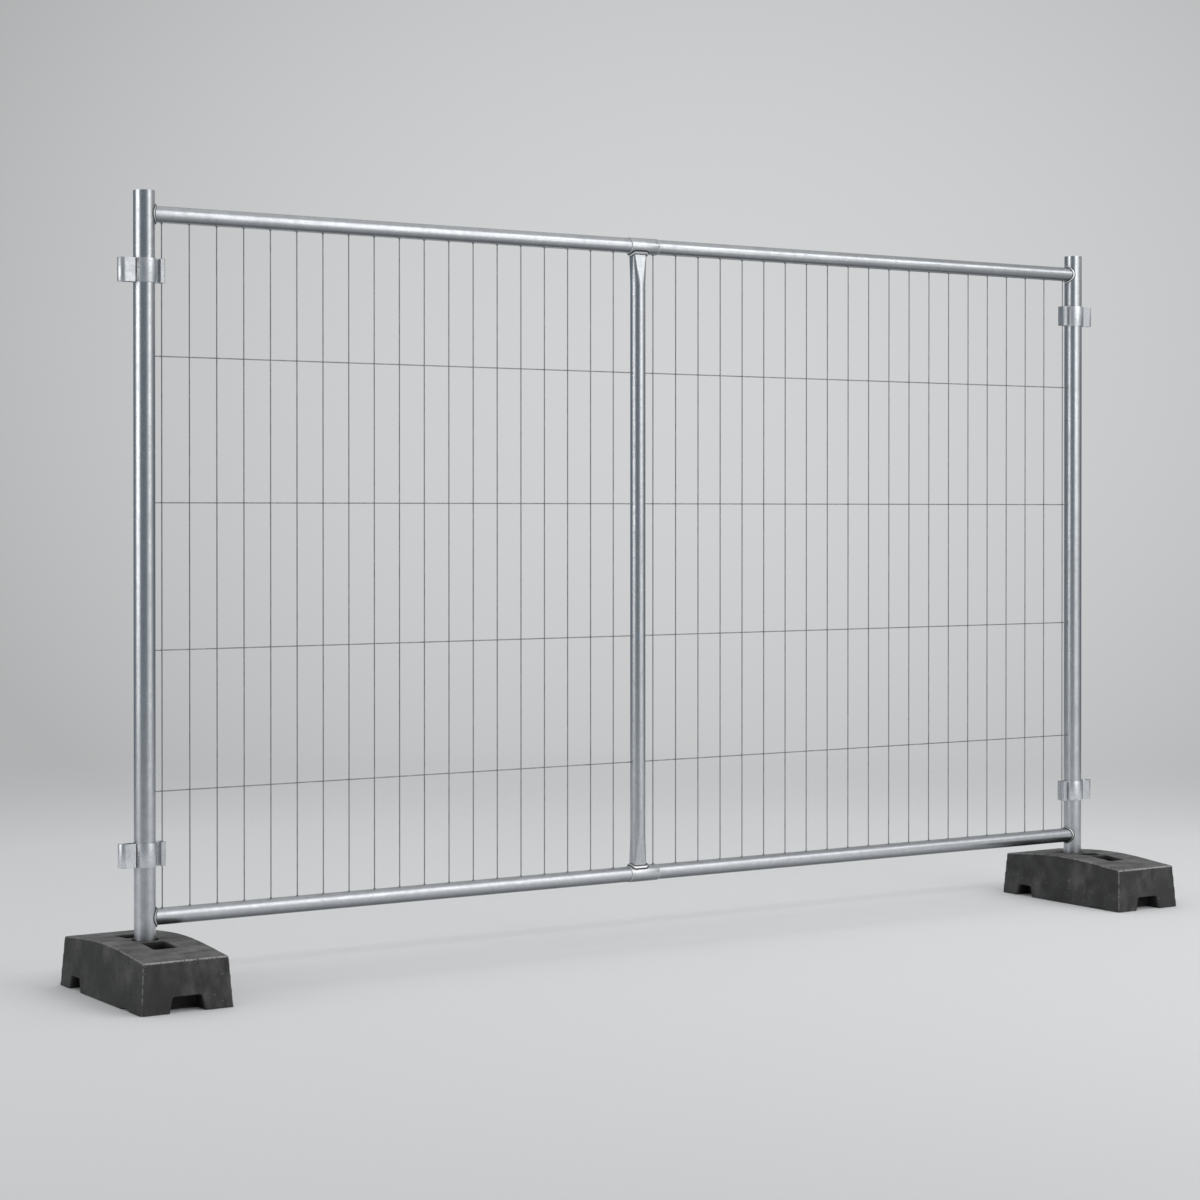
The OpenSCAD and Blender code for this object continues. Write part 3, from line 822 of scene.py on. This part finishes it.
def studio_floor():
    builder = bmesh.new()
    bmesh.ops.create_circle(builder, cap_ends=True, radius=FLOOR_RADIUS, segments=FLOOR_SIDES)
    mesh = bpy.data.meshes.new("floor")
    builder.to_mesh(mesh)
    builder.free()
    floor = shown("floor", mesh)
    floor.location = PANEL_MIDDLE + FLOOR_DROP
    paint = Finish("floor_paint", metallic=0.0)
    # Painted shade: the floor's colour gets darker towards the front.
    painted_front_shade = paint.span(paint.along_axis("Y"), FLOOR_PAINTED_SHADE, (1.0, 0.0))
    colour = paint.mix(painted_front_shade, grey(0.77, 0.01), grey(0.68, 0.01))
    paint.link(colour, paint.shader.inputs["Base Color"])
    paint.shader.inputs["Roughness"].default_value = 0.9
    paint.shader.inputs["Specular IOR Level"].default_value = 0.1
    distance = paint.nodes.new("ShaderNodeVectorMath")
    distance.operation = "LENGTH"
    paint.link(paint.place, distance.inputs[0])
    cover = paint.span(distance.outputs["Value"], FLOOR_FADE, (1.0, 0.0))
    paint.link(cover, paint.shader.inputs["Alpha"])
    dress(floor, paint.material)


def softbox(name, place, target, size, radiance, mirrored=True):
    """An area lamp that the camera doesn't see; one that isn't mirrored lights dull surfaces only."""
    data = bpy.data.lights.new(name, "AREA")
    data.shape = "RECTANGLE"
    data.size, data.size_y = size
    data.energy = radiance * math.pi * size[0] * size[1]
    lamp = bpy.data.objects.new(name, data)
    lamp.location = place
    lamp.rotation_euler = (Vector(target) - lamp.location).to_track_quat("-Z", "Y").to_euler()
    lamp.visible_camera = False
    lamp.visible_glossy = mirrored
    bpy.context.scene.collection.objects.link(lamp)


def dark_card(name, first, second, top, level):
    """An upright card between two points of the plan, seen only in reflections."""
    corners = [(*first, CARD_BOTTOM), (*second, CARD_BOTTOM), (*second, top), (*first, top)]
    mesh = bpy.data.meshes.new(name)
    mesh.from_pydata(corners, [], [(0, 1, 2, 3)])
    card = shown(name, mesh)
    cloth = Finish(name, metallic=0.0)
    cloth.shader.inputs["Base Color"].default_value = grey(level, 0.14)
    cloth.shader.inputs["Roughness"].default_value = 1.0
    cloth.shader.inputs["Specular IOR Level"].default_value = 0.0
    dress(card, cloth.material)
    card.visible_camera = False
    card.visible_diffuse = False
    card.visible_shadow = False


def surround():
    """A grey backdrop all round, lightest behind the upper half of the panel."""
    world = bpy.data.worlds.new("surround")
    bpy.context.scene.world = world
    world.use_nodes = True
    nodes, links = world.node_tree.nodes, world.node_tree.links
    spread = nodes.new("ShaderNodeMapping")
    spread.vector_type = "TEXTURE"
    spread.inputs["Location"].default_value = LIGHTEST_WAY
    spread.inputs["Rotation"].default_value = (0.0, 0.0, -CAMERA_YAW)
    spread.inputs["Scale"].default_value = LIGHTEST_SPREAD
    links.new(nodes.new("ShaderNodeTexCoord").outputs["Generated"], spread.inputs["Vector"])
    distance = nodes.new("ShaderNodeVectorMath")
    distance.operation = "LENGTH"
    links.new(spread.outputs["Vector"], distance.inputs[0])
    squared = nodes.new("ShaderNodeMath")
    squared.operation = "POWER"
    squared.use_clamp = True
    squared.inputs[1].default_value = 2.0
    links.new(distance.outputs["Value"], squared.inputs[0])
    tint = nodes.new("ShaderNodeMix")
    tint.data_type = "RGBA"
    tint.inputs[MIX_FIRST].default_value = grey(0.645, 0.01)
    tint.inputs[MIX_SECOND].default_value = grey(0.44, 0.01)
    links.new(squared.outputs["Value"], tint.inputs[MIX_SHARE])
    links.new(tint.outputs[MIX_RESULT], nodes["Background"].inputs["Color"])


studio_floor()
surround()
softbox("stripe_softbox", (2.95, -4.4, 2.35), (2.95, 0.0, 2.35), size=(1.3, 1.9), radiance=1.6)
softbox("right_softbox", (4.8, -4.4, 2.05), (4.8, 0.0, 2.05), size=(2.4, 1.3), radiance=1.0)
softbox("right_low_softbox", (4.3, -4.4, 0.55), (4.3, 0.0, 0.55), size=(3.4, 1.7), radiance=0.6)
softbox("middle_softbox", (1.9, -4.5, 1.2), (1.9, 0.0, 1.2), size=(1.4, 4.0), radiance=0.4)
softbox("high_softbox", (5.4, -4.6, 4.8), (5.4, 0.0, 1.8), size=(6.8, 3.1), radiance=1.55)
softbox("left_softbox", (-7.6, 0.6, 2.2), (0.5, 0.0, 1.4), size=(5.4, 3.6), radiance=1.8)
softbox("top_softbox", (2.2, 0.8, 6.0), (2.2, 0.8, 0.0), size=(8.0, 8.0), radiance=0.47, mirrored=False)
softbox("strip_softbox", (1.6, -8.8, 5.3), (1.6, 0.0, 0.1), size=(8.8, 0.5), radiance=9.0, mirrored=False)
softbox("top_glow", (1.6, -0.5, 6.2), (1.6, -0.5, 0.0), size=(8.0, 8.0), radiance=0.2)
dark_card("front_card", (-8.6, -3.8), (0.6, -9.6), top=6.0, level=0.36)
dark_card("left_card", (-6.0, 4.2), (3.5, 9.0), top=5.0, level=0.30)
dark_card("right_card", (7.5, -2.0), (6.5, 7.0), top=2.2, level=0.22)

bpy.context.scene.view_settings.view_transform = "Standard"
